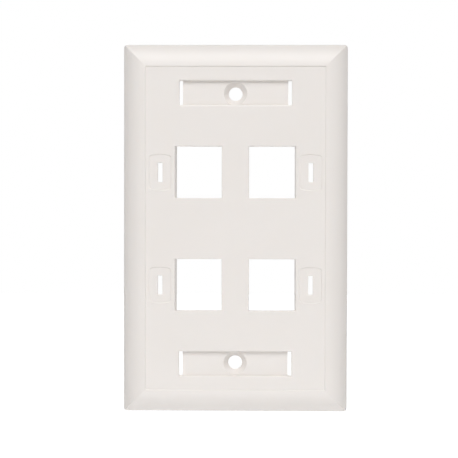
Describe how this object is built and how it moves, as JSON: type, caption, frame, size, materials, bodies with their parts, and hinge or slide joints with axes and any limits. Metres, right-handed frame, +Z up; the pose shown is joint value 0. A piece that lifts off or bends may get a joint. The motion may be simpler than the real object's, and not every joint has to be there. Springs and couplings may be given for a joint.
{
  "type": "keystone faceplate",
  "caption": "Single-gang wall plate with snap-in keystone openings, label recesses and countersunk screw holes.",
  "frame": {"origin": "on the wall plane, midway between the two screws, which is the middle of the outline", "axes": "+Z up the plate, +X across it to the right as seen from the front, -Y out of the wall towards the room"},
  "size_m": [0.0698, 0.0102, 0.1142],
  "materials": {
    "white_plastic": "white high-impact thermoplastic, moulded, satin to semi-gloss"
  },
  "bodies": {
    "root": {"faceplate": "white_plastic"}
  },
  "joints": []
}
